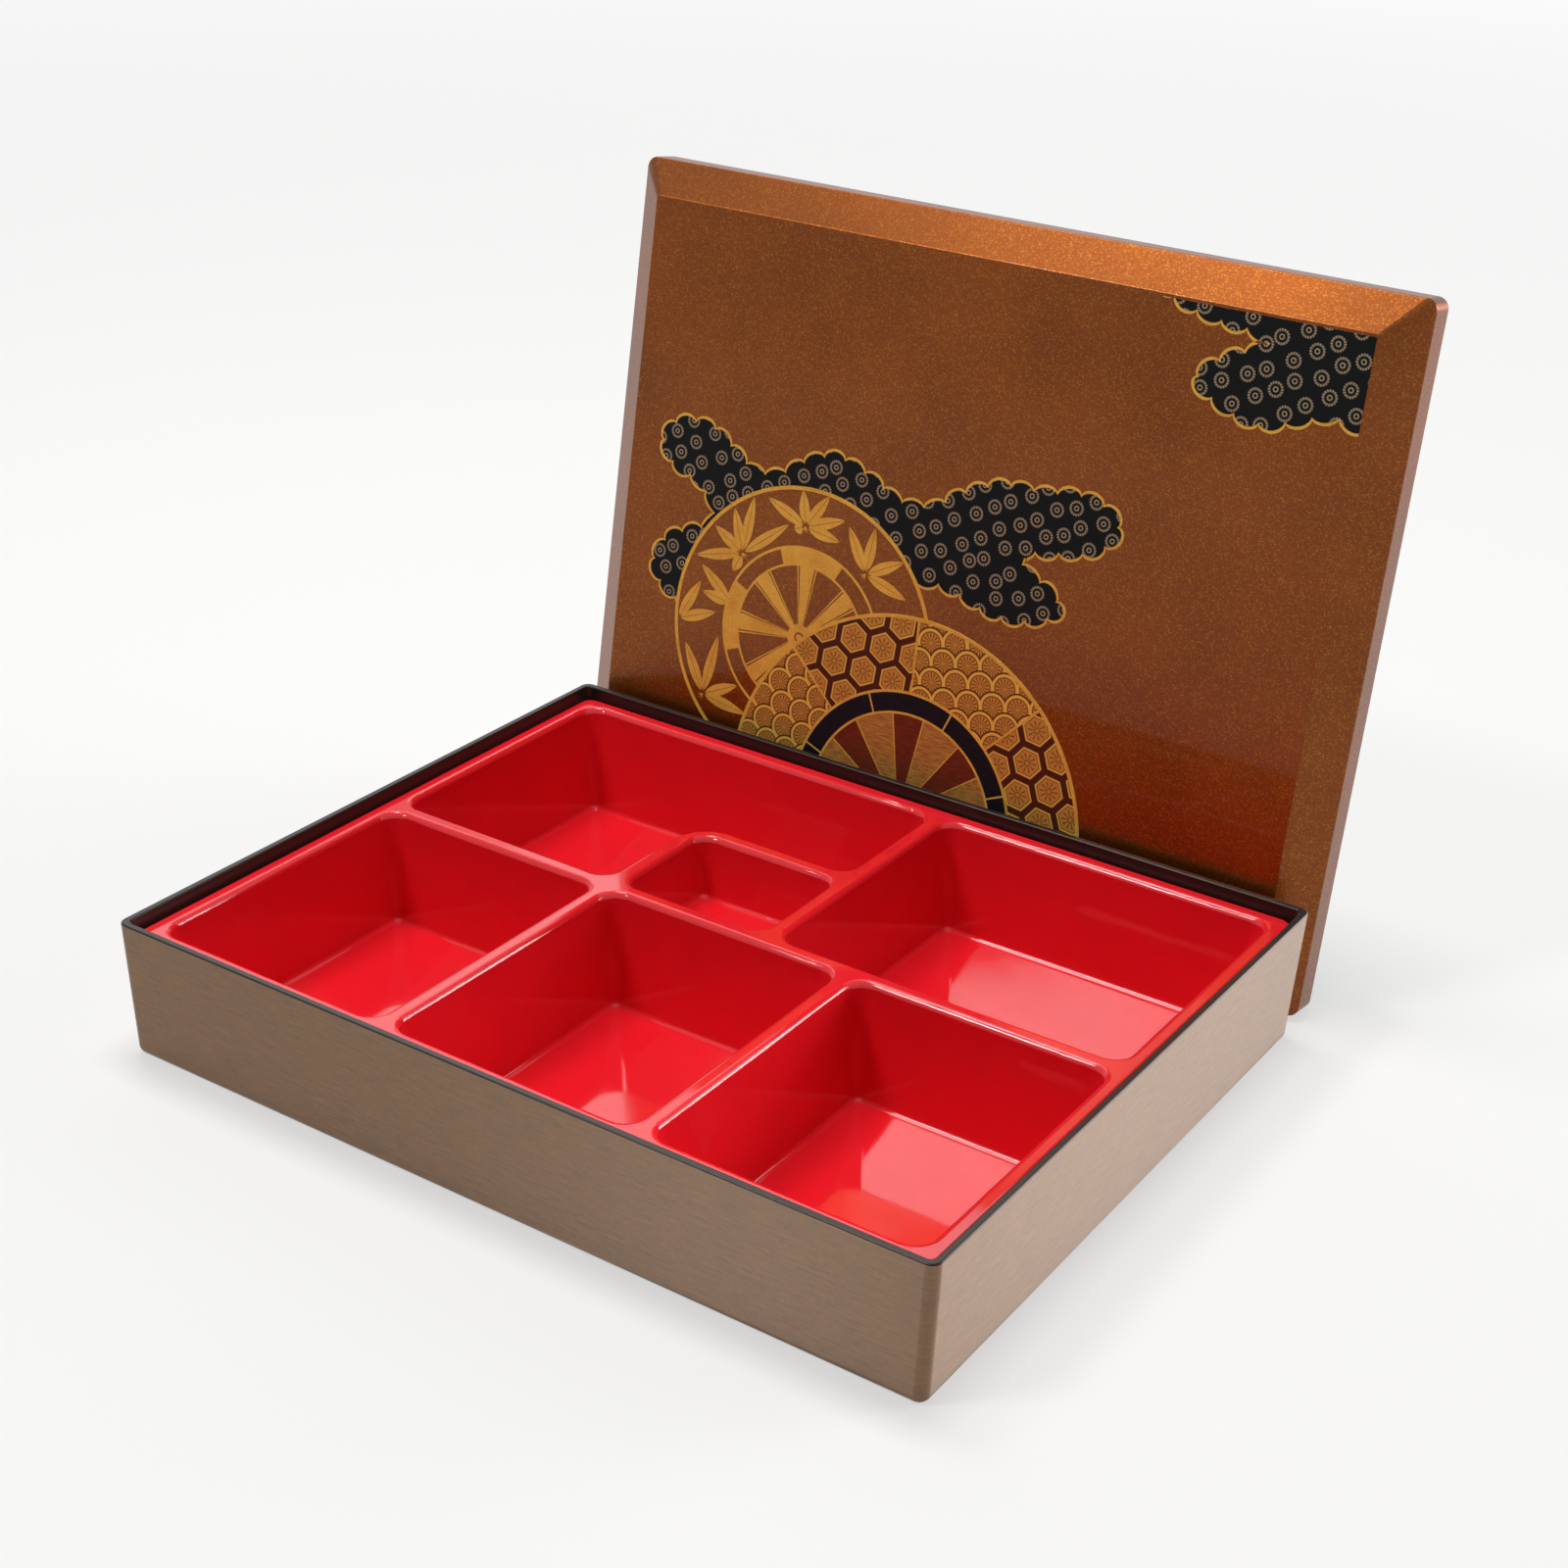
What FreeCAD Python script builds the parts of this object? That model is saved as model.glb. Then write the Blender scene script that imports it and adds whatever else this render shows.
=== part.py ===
import FreeCAD, Part
import math
import os

# A lacquer-look bento box in three moulded pieces: the outer box, the compartment tray
# that drops into it, and the lid, which stands leaning behind the box.
# Millimetres, +Z up. X runs along the long side and -Y is the front. Each piece is drawn
# around the middle of the box, and the set is then moved so that the origin is on the
# table, in the middle of the room that the box and the standing lid take together.

# Outer box
box_length = 300.0
box_depth = 240.0
box_height = 48.0
box_wall = 2.5
box_floor = 2.2
box_wall_lean = 1.8          # how far each wall runs in between the rim and the underside
box_corner_radius = 3.5
box_mouth_radius = 2.0       # upright corners of the inside
box_bottom_rounding = 3.0
box_floor_rounding = 1.5
box_rim_rounding = 0.6
foot_height = 1.0
foot_reach = 34.0            # along each wall from the corner
foot_width = 9.0

# Compartment tray
tray_drop = 4.0              # the tray's top lies this far under the box's rim
tray_clearance = 0.5
tray_corner_radius = 5.0
tray_skin = 1.6
tray_hem = 6.0               # depth of the turned-down outer edge
tray_border = 6.5            # from the outer edge to the nearest compartment
divider_width = 6.0
divider_rounding = 2.2
cross_divider_y = 1.0        # middle of the long divider between the two rows
back_divider_x = 14.0        # middle of the divider between the two back compartments
small_depth = 45.0           # of the small square compartment, front to back
small_deepness = 22.0
pocket_draft = 6.0           # how far a full-depth wall runs in on its way down
pocket_corner_radius = 7.5
pocket_foot_radius = 2.6     # the same corners at the floor
pocket_floor_rounding = 2.0

# Lid
lid_overhang = 1.5
lid_wall = 2.5
lid_skirt_height = 11.0
lid_bevel_height = 9.6
lid_bevel_run = 12.4
lid_corner_radius = 4.0
lid_panel_corner_radius = 1.6
lid_edge_rounding = 0.9
lid_rim_rounding = 0.5
lip_height = 3.0
lip_wall = 1.6
lip_band = 3.0               # height of the band that joins the lip to the skirt
lip_clearance = 0.5
lid_gap = 0.3                # between the plane of the box's rim and the nearest edge of the lid
lid_shift = -4.3             # along X, as the lid stands behind the box
lid_lean_degrees = 8.6

overrun = 5.0                # cuts run this far past the faces that they open


def rectangle(x_min, x_max, y_min, y_max):
    """Corners of an upright rectangle, counter-clockwise."""
    return [(x_min, y_min), (x_max, y_min), (x_max, y_max), (x_min, y_max)]


def centred_rectangle(length, depth):
    """Corners of a rectangle around the origin."""
    return rectangle(-length / 2, length / 2, -depth / 2, depth / 2)


def unit(start, end):
    """Unit vector from one plan point to another."""
    run = math.hypot(end[0] - start[0], end[1] - start[1])
    return ((end[0] - start[0]) / run, (end[1] - start[1]) / run)


def moved_in(corners, distance):
    """The same right-angled outline with every edge moved inwards."""
    moved = []
    for index, corner in enumerate(corners):
        before = unit(corners[index - 1], corner)
        after = unit(corner, corners[(index + 1) % len(corners)])
        moved.append((corner[0] - distance * (before[1] + after[1]),
                      corner[1] + distance * (before[0] + after[0])))
    return moved


def rounded_outline(corners, radii, z):
    """Closed wire through right-angled corners, each rounded by its own radius."""
    if not isinstance(radii, list):
        radii = [radii] * len(corners)
    arcs = []
    for index, corner in enumerate(corners):
        back = unit(corner, corners[index - 1])
        forth = unit(corner, corners[(index + 1) % len(corners)])
        radius = radii[index]
        bulge = radius * (1 - 1 / math.sqrt(2))
        start = (corner[0] + back[0] * radius, corner[1] + back[1] * radius)
        middle = (corner[0] + (back[0] + forth[0]) * bulge, corner[1] + (back[1] + forth[1]) * bulge)
        end = (corner[0] + forth[0] * radius, corner[1] + forth[1] * radius)
        arcs.append([FreeCAD.Vector(point[0], point[1], z) for point in (start, middle, end)])
    edges = []
    for index, arc in enumerate(arcs):
        edges.append(Part.Arc(*arc).toShape())
        edges.append(Part.makeLine(arc[2], arcs[(index + 1) % len(arcs)][0]))
    return Part.Wire(edges)


def block_between(lower, upper):
    """Solid with straight walls between two outlines."""
    return Part.makeLoft([lower, upper], True, True)


def edges_at(shape, z, tolerance_share=0.001):
    """Edges that lie wholly in one level plane."""
    tolerance = shape.BoundBox.ZLength * tolerance_share
    found = []
    for edge in shape.Edges:
        box = edge.BoundBox
        if abs(box.ZMin - z) < tolerance and abs(box.ZMax - z) < tolerance:
            found.append(edge)
    return found


def wall_run(height, z):
    """How far the box's wall has run in at a level, counted from the rim."""
    return box_wall_lean * (height - z) / height


def box_outline(z, inwards=0.0, radius=box_corner_radius):
    """Outline of the box's leaning walls at a level, moved in by a distance."""
    corners = centred_rectangle(box_length, box_depth)
    return rounded_outline(moved_in(corners, wall_run(box_height, z) + inwards), radius, z)


def make_outer_box():
    """Box body: leaning walls, floor, rounded bottom edge and four corner feet."""
    body = block_between(box_outline(0), box_outline(box_height))
    body = body.makeFillet(box_bottom_rounding, edges_at(body, 0))

    floor_level = foot_height + box_floor
    above = box_height + overrun
    cavity = block_between(box_outline(floor_level, box_wall, box_mouth_radius),
                           box_outline(above, box_wall, box_mouth_radius))
    cavity = cavity.makeFillet(box_floor_rounding, edges_at(cavity, floor_level))
    body = body.cut(cavity)
    body = body.makeFillet(box_rim_rounding, edges_at(body, box_height))
    return body.cut(foot_relief())


def foot_relief():
    """Shallow space under the box that leaves an angled foot at each corner."""
    across = box_length + 2 * overrun
    along = box_depth + 2 * overrun
    corner_run = 2 * (box_wall_lean + foot_reach)
    strips = [(across, box_depth - corner_run), (box_length - corner_run, along)]
    foot_run = 2 * (box_wall_lean + foot_width)
    strips.append((box_length - foot_run, box_depth - foot_run))
    relief = None
    for length, depth in strips:
        strip = Part.makeBox(length, depth, foot_height + overrun,
                             FreeCAD.Vector(-length / 2, -depth / 2, -overrun))
        relief = strip if relief is None else relief.fuse(strip)
    return relief.removeSplitter()


tray_top = box_height - tray_drop
tray_foot = foot_height + box_floor
tray_inset = box_wall + wall_run(box_height, tray_top) + tray_clearance
tray_length = box_length - 2 * tray_inset
tray_depth = box_depth - 2 * tray_inset
full_deepness = tray_top - tray_foot - tray_skin


def compartments():
    """Plan corners and deepness of each compartment at the tray's top."""
    right = tray_length / 2 - tray_border
    back = tray_depth / 2 - tray_border
    half = divider_width / 2
    width = (2 * right - 2 * divider_width) / 3
    first = -right + width
    second = first + divider_width + width
    row_front = cross_divider_y - half
    row_back = cross_divider_y + half
    divide = back_divider_x - half
    square_left = first + divider_width
    square_back = row_back + small_depth
    return {
        "front_left": (rectangle(-right, first, -back, row_front), full_deepness),
        "front_middle": (rectangle(first + divider_width, second, -back, row_front), full_deepness),
        "front_right": (rectangle(second + divider_width, right, -back, row_front), full_deepness),
        "back_right": (rectangle(divide + divider_width, right, row_back, back), full_deepness),
        "small_square": (rectangle(square_left, divide, row_back, square_back), small_deepness),
        "back_left": ([(-right, row_back), (first, row_back), (first, square_back + divider_width),
                       (divide, square_back + divider_width), (divide, back), (-right, back)],
                      full_deepness),
    }


def corner_radii(corners, convex, concave):
    """One radius for each corner, by whether the outline turns left or right there."""
    radii = []
    for index, corner in enumerate(corners):
        before = unit(corners[index - 1], corner)
        after = unit(corner, corners[(index + 1) % len(corners)])
        turns_left = before[0] * after[1] - before[1] * after[0] > 0
        radii.append(convex if turns_left else concave)
    return radii


def pocket(corners, deepness, skin=0.0, above=0.0):
    """Drafted, round-cornered compartment, grown outwards by a skin where one is given."""
    run = pocket_draft * deepness / full_deepness
    slope = run / deepness
    around = pocket_corner_radius + divider_width
    top_corners = moved_in(corners, -skin - slope * above)
    foot_corners = moved_in(corners, run - skin)
    upper = rounded_outline(top_corners, corner_radii(corners, pocket_corner_radius + skin, around - skin),
                            tray_top + above)
    lower = rounded_outline(foot_corners,
                            corner_radii(corners, pocket_foot_radius + skin, around + run - skin),
                            tray_top - deepness - skin)
    solid = block_between(lower, upper)
    return solid.makeFillet(pocket_floor_rounding + skin / 2, edges_at(solid, tray_top - deepness - skin))


def tray_plate():
    """Top sheet of the tray with its turned-down outer edge."""
    corners = centred_rectangle(tray_length, tray_depth)
    lean = box_wall_lean / box_height
    hem_foot = tray_top - tray_hem
    outside = block_between(
        rounded_outline(moved_in(corners, lean * tray_hem), tray_corner_radius, hem_foot),
        rounded_outline(corners, tray_corner_radius, tray_top))
    under = tray_top - tray_skin
    hollow_radius = tray_corner_radius - tray_skin
    hollow = block_between(
        rounded_outline(moved_in(corners, lean * tray_hem + tray_skin), hollow_radius, hem_foot - overrun),
        rounded_outline(moved_in(corners, lean * tray_skin + tray_skin), hollow_radius, under))
    return outside.cut(hollow)


def make_tray():
    """Compartment tray: one thin sheet drawn down into six round-cornered compartments."""
    tray = tray_plate()
    for corners, deepness in compartments().values():
        tray = tray.fuse(pocket(corners, deepness, skin=tray_skin))
    crown = centred_rectangle(box_length, box_depth)
    tray = tray.cut(Part.Face(rounded_outline(crown, box_corner_radius, tray_top)).extrude(
        FreeCAD.Vector(0, 0, overrun)))
    for corners, deepness in compartments().values():
        tray = tray.cut(pocket(corners, deepness, above=overrun))
    return tray.makeFillet(divider_rounding, edges_at(tray, tray_top))


def lid_block(inwards, rim, roof):
    """Bevelled block of the lid's outline, moved in by a wall, from a rim level to its roof."""
    length = box_length + 2 * lid_overhang
    depth = box_depth + 2 * lid_overhang
    corners = moved_in(centred_rectangle(length, depth), inwards)
    slope = lid_bevel_run / lid_bevel_height
    corner = max(lid_corner_radius - inwards, lid_panel_corner_radius)
    skirt_top = lid_skirt_height - inwards * (math.hypot(lid_bevel_run, lid_bevel_height) - lid_bevel_height) \
        / lid_bevel_run
    run = (roof - skirt_top) * slope
    skirt = Part.Face(rounded_outline(corners, corner, rim)).extrude(FreeCAD.Vector(0, 0, skirt_top - rim))
    bevel = block_between(rounded_outline(corners, corner, skirt_top),
                          rounded_outline(moved_in(corners, run), lid_panel_corner_radius, roof))
    return skirt.fuse(bevel)


def lid_lip():
    """Inner lip that drops inside the box's rim, with the band that carries it."""
    mouth = moved_in(centred_rectangle(box_length, box_depth), box_wall + lip_clearance)
    band = moved_in(centred_rectangle(box_length, box_depth), lid_wall - lid_overhang - lip_clearance)
    inside = rounded_outline(moved_in(mouth, lip_wall), box_mouth_radius, -lip_height - overrun)
    lip = Part.Face(rounded_outline(mouth, box_mouth_radius, -lip_height)).extrude(
        FreeCAD.Vector(0, 0, lip_height + lip_band))
    carrier = Part.Face(rounded_outline(band, box_mouth_radius, 0)).extrude(FreeCAD.Vector(0, 0, lip_band))
    opening = Part.Face(inside).extrude(FreeCAD.Vector(0, 0, lip_height + lip_band + 2 * overrun))
    return lip.fuse(carrier).cut(opening)


def make_flat_lid():
    """Lid as it lies on the box: rim at level zero, panel up."""
    height = lid_skirt_height + lid_bevel_height
    outside = lid_block(0, 0, height)
    outside = outside.removeSplitter()
    outside = outside.makeFillet(lid_edge_rounding, edges_at(outside, height))
    outside = outside.makeFillet(lid_edge_rounding, edges_at(outside, lid_skirt_height))
    outside = outside.makeFillet(lid_rim_rounding, edges_at(outside, 0))
    inside = lid_block(lid_wall, -overrun, height - lid_wall)
    return outside.cut(inside).fuse(lid_lip()).removeSplitter()


def make_lid():
    """Lid standing on one long edge behind the box, leaning back, with its panel to the front."""
    lean = math.radians(lid_lean_degrees)
    height = lid_skirt_height + lid_bevel_height
    half_depth = box_depth / 2 + lid_overhang
    panel_edge = half_depth - lid_bevel_run
    lid = make_flat_lid()
    lid.rotate(FreeCAD.Vector(0, 0, 0), FreeCAD.Vector(1, 0, 0), 90 - lid_lean_degrees)
    rest_level = half_depth * math.cos(lean)
    panel_front = -panel_edge * math.sin(lean) - height * math.cos(lean)
    lid.translate(FreeCAD.Vector(lid_shift, box_depth / 2 + lid_gap - panel_front, rest_level))
    lid.translate(FreeCAD.Vector(0, 0, -lid.optimalBoundingBox(False).ZMin))
    return lid


def middle_of(shapes):
    """Middle of the floor space that some shapes take together."""
    room = FreeCAD.BoundBox()
    for shape in shapes:
        room.add(shape.optimalBoundingBox(False))
    return FreeCAD.Vector(room.Center.x, room.Center.y, 0)


def main():
    """Write one file for each piece."""
    os.makedirs("parts", exist_ok=True)
    pieces = {
        "outer_box": make_outer_box(),
        "compartment_tray": make_tray(),
        "lid": make_lid(),
    }
    to_origin = middle_of(pieces.values()).negative()
    for name, shape in pieces.items():
        shape.translate(to_origin)
        shape.exportStep(os.path.join("parts", name + ".step"))


main()
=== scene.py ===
import math

import bpy
from bpy.props import FloatProperty, PointerProperty, StringProperty
from mathutils import Matrix, Vector, geometry


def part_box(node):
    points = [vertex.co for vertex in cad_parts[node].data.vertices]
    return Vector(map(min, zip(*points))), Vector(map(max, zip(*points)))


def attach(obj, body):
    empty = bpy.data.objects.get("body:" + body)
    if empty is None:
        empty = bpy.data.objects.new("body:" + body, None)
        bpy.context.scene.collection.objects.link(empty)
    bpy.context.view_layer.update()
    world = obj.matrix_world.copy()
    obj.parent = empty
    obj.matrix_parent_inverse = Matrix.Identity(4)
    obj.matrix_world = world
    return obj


bl_info = {
    "name": "Lacquer-look lunch box",
    "version": (1, 0, 0),
    "blender": (4, 5, 0),
    "location": "View3D > Sidebar > Lunch Box",
    "description": "Finishes of a six-compartment lunch box and the print on its lid",
    "category": "Object",
}

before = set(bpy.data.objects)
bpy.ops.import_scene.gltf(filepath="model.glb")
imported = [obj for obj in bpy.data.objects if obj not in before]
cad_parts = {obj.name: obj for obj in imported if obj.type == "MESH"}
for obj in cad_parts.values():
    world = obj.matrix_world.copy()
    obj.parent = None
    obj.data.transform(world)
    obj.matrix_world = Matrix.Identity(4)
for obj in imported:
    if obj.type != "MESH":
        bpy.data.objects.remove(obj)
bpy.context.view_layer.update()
MM = 0.001


# Sizes and colours that a user would change

class BoxFinish(bpy.types.PropertyGroup):
    """Sprayed cloth-look coat on the outer box."""
    wall: FloatProperty(
        name="Wall", description="Thickness of the box's wall", default=2.5 * MM, unit="LENGTH")
    lean: FloatProperty(
        name="Wall lean", description="Run of a wall from rim to underside",
        default=1.8 * MM, unit="LENGTH")
    thread: FloatProperty(
        name="Thread pitch", description="Distance between the cloth pattern's threads",
        default=0.95 * MM, unit="LENGTH")
    slub: FloatProperty(
        name="Slub length", description="Length of a thicker stretch of thread",
        default=10 * MM, unit="LENGTH")
    coat: StringProperty(name="Coat", description="Bronze spray coat outside", default="#956838")
    coat_dark: StringProperty(
        name="Coat, low", description="Bronze coat between threads", default="#71502C")
    inside: StringProperty(
        name="Inside", description="Bare black plastic of rim and inside", default="#17110F")
    inside_shine: StringProperty(
        name="Inside shine", description="Tint of the black plastic's reflections",
        default="#8A827E")


class TrayFinish(bpy.types.PropertyGroup):
    """Polished red tray."""
    red: StringProperty(name="Red", description="Colour of the moulding", default="#DE1A26")
    flow: FloatProperty(
        name="Flow marks", description="Width of the faint waves of the moulding",
        default=14 * MM, unit="LENGTH")


class LidFinish(bpy.types.PropertyGroup):
    """Metal-flake lacquer on the lid."""
    brown: StringProperty(name="Lacquer", description="Brown of the lacquer", default="#7B3C0D")
    flake: StringProperty(name="Flake", description="Colour of the gold flakes", default="#F8B838")
    flake_size: FloatProperty(
        name="Flake size", description="Distance between two flakes",
        default=0.36 * MM, unit="LENGTH")
    inside: StringProperty(
        name="Inside", description="Bare black plastic inside the lid", default="#17110F")


class PrintSizes(bpy.types.PropertyGroup):
    """Sizes of the lid's print, in the plane of its panel."""
    half_width: FloatProperty(
        name="Half width", description="Print's reach from the middle to the side",
        default=137.6 * MM, unit="LENGTH")
    half_height: FloatProperty(
        name="Half height", description="Print's reach from the middle to the top",
        default=108.0 * MM, unit="LENGTH")
    line: FloatProperty(
        name="Line", description="Width of the gold outline", default=1.05 * MM, unit="LENGTH")
    scallop: FloatProperty(
        name="Scallop", description="Width of one scallop of a cloud's edge",
        default=9.0 * MM, unit="LENGTH")
    roundel: FloatProperty(
        name="Roundel pitch", description="Distance between flower roundels",
        default=7.9 * MM, unit="LENGTH")
    hexagon: FloatProperty(
        name="Hexagon pitch", description="Distance between hexagons",
        default=12.5 * MM, unit="LENGTH")
    scale: FloatProperty(
        name="Wave scale", description="Width of one wave scale", default=9.8 * MM, unit="LENGTH")
    relief: FloatProperty(
        name="Ink relief", description="Height of one layer of ink",
        default=0.04 * MM, unit="LENGTH")


class PrintColours(bpy.types.PropertyGroup):
    """Inks of the lid's print."""
    gold: StringProperty(name="Gold", description="Gold ink", default="#EFBF52")
    gold_low: StringProperty(
        name="Gold, low", description="Gold ink in its worn places", default="#D59C3E")
    black: StringProperty(name="Black", description="Black ink of the clouds", default="#131516")
    thread: StringProperty(name="Thin gold", description="Thin lines on black", default="#B9A888")
    copper: StringProperty(
        name="Copper", description="Copper-gold ground of the patterned wheel",
        default="#CC9040")
    line: StringProperty(
        name="Dark line", description="Dark red-brown line on the copper", default="#50251A")


class StageSettings(bpy.types.PropertyGroup):
    """Floor, room and camera."""
    floor: StringProperty(name="Floor", description="Colour of the paper", default="#E0DFDD")
    floor_size: FloatProperty(
        name="Floor size", description="Side of the paper", default=14.0, unit="LENGTH")
    floor_glow: FloatProperty(
        name="Floor glow", description="Share of plain white in the paper's look",
        default=0.56, subtype="FACTOR")
    surroundings: FloatProperty(
        name="Surroundings", description="Tone of the room round the paper",
        default=0.7, subtype="FACTOR")
    room_light: FloatProperty(
        name="Room light", description="Strength of the room's own even light",
        default=0.05, subtype="FACTOR")
    lens: FloatProperty(name="Lens", description="Focal length", default=58.23, unit="CAMERA")
    roll: FloatProperty(
        name="Roll", description="Camera roll", default=math.radians(2.185), unit="ROTATION")


GROUPS = {
    "lunch_box": BoxFinish,
    "lunch_tray": TrayFinish,
    "lunch_lid": LidFinish,
    "lunch_print": PrintSizes,
    "lunch_ink": PrintColours,
    "lunch_stage": StageSettings,
}

# The lid's moulding, which the mask for its black inside follows
LID_WALL = 2.5 * MM
LID_HALF_DEPTH = 121.5 * MM
LID_BEVEL_HEIGHT = 9.6 * MM
LID_BEVEL_RUN = 12.4 * MM

# Share of gold where a flake is brightest, the rest being the brown lacquer over it
FLAKE_SHARE = 0.19


# Helpers for colours, nodes and objects

def linear(code):
    """Linear colour of an sRGB hex code."""
    parts = [int(code[start:start + 2], 16) / 255 for start in (1, 3, 5)]
    return [part / 12.92 if part <= 0.04045 else ((part + 0.055) / 1.055) ** 2.4
            for part in parts] + [1.0]


def add_node(tree, kind, inputs=None, **settings):
    """Add one shader node with its settings, and a value or a link in each named input, and
    return its outputs. Map Range's inputs 1 to 4 are what it reads from and to and what it gives
    from and to. Mix blends its inputs 2 and 3 (numbers), 4 and 5 (places) or 6 and 7 (colours)."""
    node = tree.nodes.new("ShaderNode" + kind)
    for key, value in settings.items():
        setattr(node, key, value)
    for key, value in (inputs or {}).items():
        if isinstance(value, bpy.types.NodeSocket):
            tree.links.new(value, node.inputs[key])
        else:
            node.inputs[key].default_value = value
    return node.outputs


def new_material(name):
    """Material with an empty tree of nodes."""
    material = bpy.data.materials.new(name)
    material.use_nodes = True
    material.node_tree.nodes.clear()
    return material, material.node_tree


def new_object(name, data):
    """Object in the scene."""
    thing = bpy.data.objects.new(name, data)
    bpy.context.scene.collection.objects.link(thing)
    return thing


def wear_material(node_name, material):
    """Give a CAD node its finish."""
    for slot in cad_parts[node_name].material_slots:
        slot.material = material


# Materials of the three mouldings

def box_material(sizes):
    """ABS, injection moulded, with a bronze spray coat over a moulded cloth texture outside.
    The eye gets a satin metal-like brown, streaked along the threads, and bare semi-gloss black
    plastic on the rim and inside."""
    material, tree = new_material("moulded_abs_bronze_sprayed")
    low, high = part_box("outer_box")
    middle = (low + high) / 2
    rim_edge = 0.45 * MM
    place = add_node(tree, "TexCoord")["Object"]
    centred = add_node(tree, "VectorMath", {0: place, 1: (middle.x, middle.y, 0)},
                       operation="SUBTRACT")[0]
    folded = add_node(tree, "VectorMath", {0: centred}, operation="ABSOLUTE")[0]
    xyz = add_node(tree, "SeparateXYZ", {0: folded})

    # outside is where a point lies past the middle of the wall, below the rim's rounding
    run = add_node(tree, "Math", {0: xyz["Z"], 1: -sizes.lean / high.z, 2: sizes.lean},
                   operation="MULTIPLY_ADD")[0]
    reach = []
    for axis, half in (("X", (high.x - low.x) / 2), ("Y", (high.y - low.y) / 2)):
        inner = add_node(tree, "Math", {0: half - sizes.wall / 2, 1: run}, operation="SUBTRACT")[0]
        reach.append(add_node(tree, "Math", {0: xyz[axis], 1: inner}, operation="SUBTRACT")[0])
    past = add_node(tree, "Math", {0: reach[0], 1: reach[1]}, operation="MAXIMUM")[0]
    outer = add_node(tree, "Math", {0: past, 1: 0.0}, operation="GREATER_THAN")[0]
    below = add_node(tree, "Math", {0: xyz["Z"], 1: high.z - rim_edge}, operation="LESS_THAN")[0]
    outside = add_node(tree, "Math", {0: outer, 1: below}, operation="MULTIPLY")[0]

    # threads run level round the box: long streaks, and short marks about two threads wide
    streak_size = (1 / sizes.slub, 1 / sizes.slub, 1 / sizes.thread)
    cross_size = (0.55 / sizes.thread,) * 3
    marks = []
    for size, detail, roughness in ((streak_size, 3.0, 0.6), (cross_size, 2.0, 0.5)):
        scaled = add_node(tree, "Mapping", {0: centred, "Scale": size})[0]
        marks.append(add_node(tree, "TexNoise", {
            "Vector": scaled, "Scale": 1.0, "Detail": detail, "Roughness": roughness})["Fac"])
    weave = add_node(tree, "Mix", {0: 0.3, 2: marks[0], 3: marks[1]}, data_type="FLOAT")[0]
    tone = add_node(tree, "MapRange", {0: weave, 1: 0.3, 2: 0.7, 3: 0.0, 4: 1.0})[0]
    coat = add_node(tree, "Mix", {0: tone, 6: linear(sizes.coat_dark), 7: linear(sizes.coat)},
                    data_type="RGBA")[2]
    colour = add_node(tree, "Mix", {0: outside, 6: linear(sizes.inside), 7: coat},
                      data_type="RGBA")[2]
    metal = add_node(tree, "Math", {0: outside, 1: 0.2}, operation="MULTIPLY")[0]
    rough = add_node(tree, "Mix", {0: outside, 2: 0.3, 3: 0.46}, data_type="FLOAT")[0]
    height = add_node(tree, "Math", {0: weave, 1: outside}, operation="MULTIPLY")[0]
    bump = add_node(tree, "Bump", {"Strength": 0.6, "Distance": 0.12 * MM, "Height": height})[0]
    # the moulded hairlines run level, so that a highlight on them spreads up and down
    level = add_node(tree, "Tangent", direction_type="RADIAL", axis="Z")[0]
    # the bare black plastic mirrors less than the coat does
    tint = add_node(tree, "Mix", {
        0: outside, 6: linear(sizes.inside_shine), 7: (1, 1, 1, 1)}, data_type="RGBA")[2]
    shader = add_node(tree, "BsdfPrincipled", {
        "Base Color": colour, "Metallic": metal, "Roughness": rough, "IOR": 1.95,
        "Specular Tint": tint, "Anisotropic": outside, "Anisotropic Rotation": 0.25,
        "Tangent": level, "Sheen Weight": 0.6, "Sheen Roughness": 0.3, "Normal": bump})[0]
    add_node(tree, "OutputMaterial", {"Surface": shader})
    return material


def tray_material(sizes):
    """ABS, injection moulded in a polished mould. The eye gets a deep even red with sharp
    reflections that waver a little where the plastic flowed."""
    material, tree = new_material("moulded_abs_polished_red")
    place = add_node(tree, "TexCoord")["Object"]
    flow = add_node(tree, "TexNoise", {
        "Vector": place, "Scale": 1 / sizes.flow, "Detail": 1.0, "Roughness": 0.4})["Fac"]
    skin = add_node(tree, "TexNoise", {
        "Vector": place, "Scale": 0.12 / MM, "Detail": 4.0, "Roughness": 0.6})["Fac"]
    tone = add_node(tree, "MapRange", {0: flow, 1: 0.3, 2: 0.7, 3: 0.98, 4: 1.02})[0]
    colour = add_node(tree, "VectorMath", {0: linear(sizes.red)[:3], "Scale": tone},
                      operation="SCALE")[0]
    rough = add_node(tree, "MapRange", {0: skin, 1: 0.3, 2: 0.7, 3: 0.045, 4: 0.085})[0]
    bump = add_node(tree, "Bump", {"Strength": 0.12, "Distance": 0.25 * MM, "Height": flow})[0]
    shader = add_node(tree, "BsdfPrincipled", {
        "Base Color": colour, "Roughness": rough, "IOR": 1.52, "Normal": bump})[0]
    add_node(tree, "OutputMaterial", {"Surface": shader})
    return material


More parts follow.
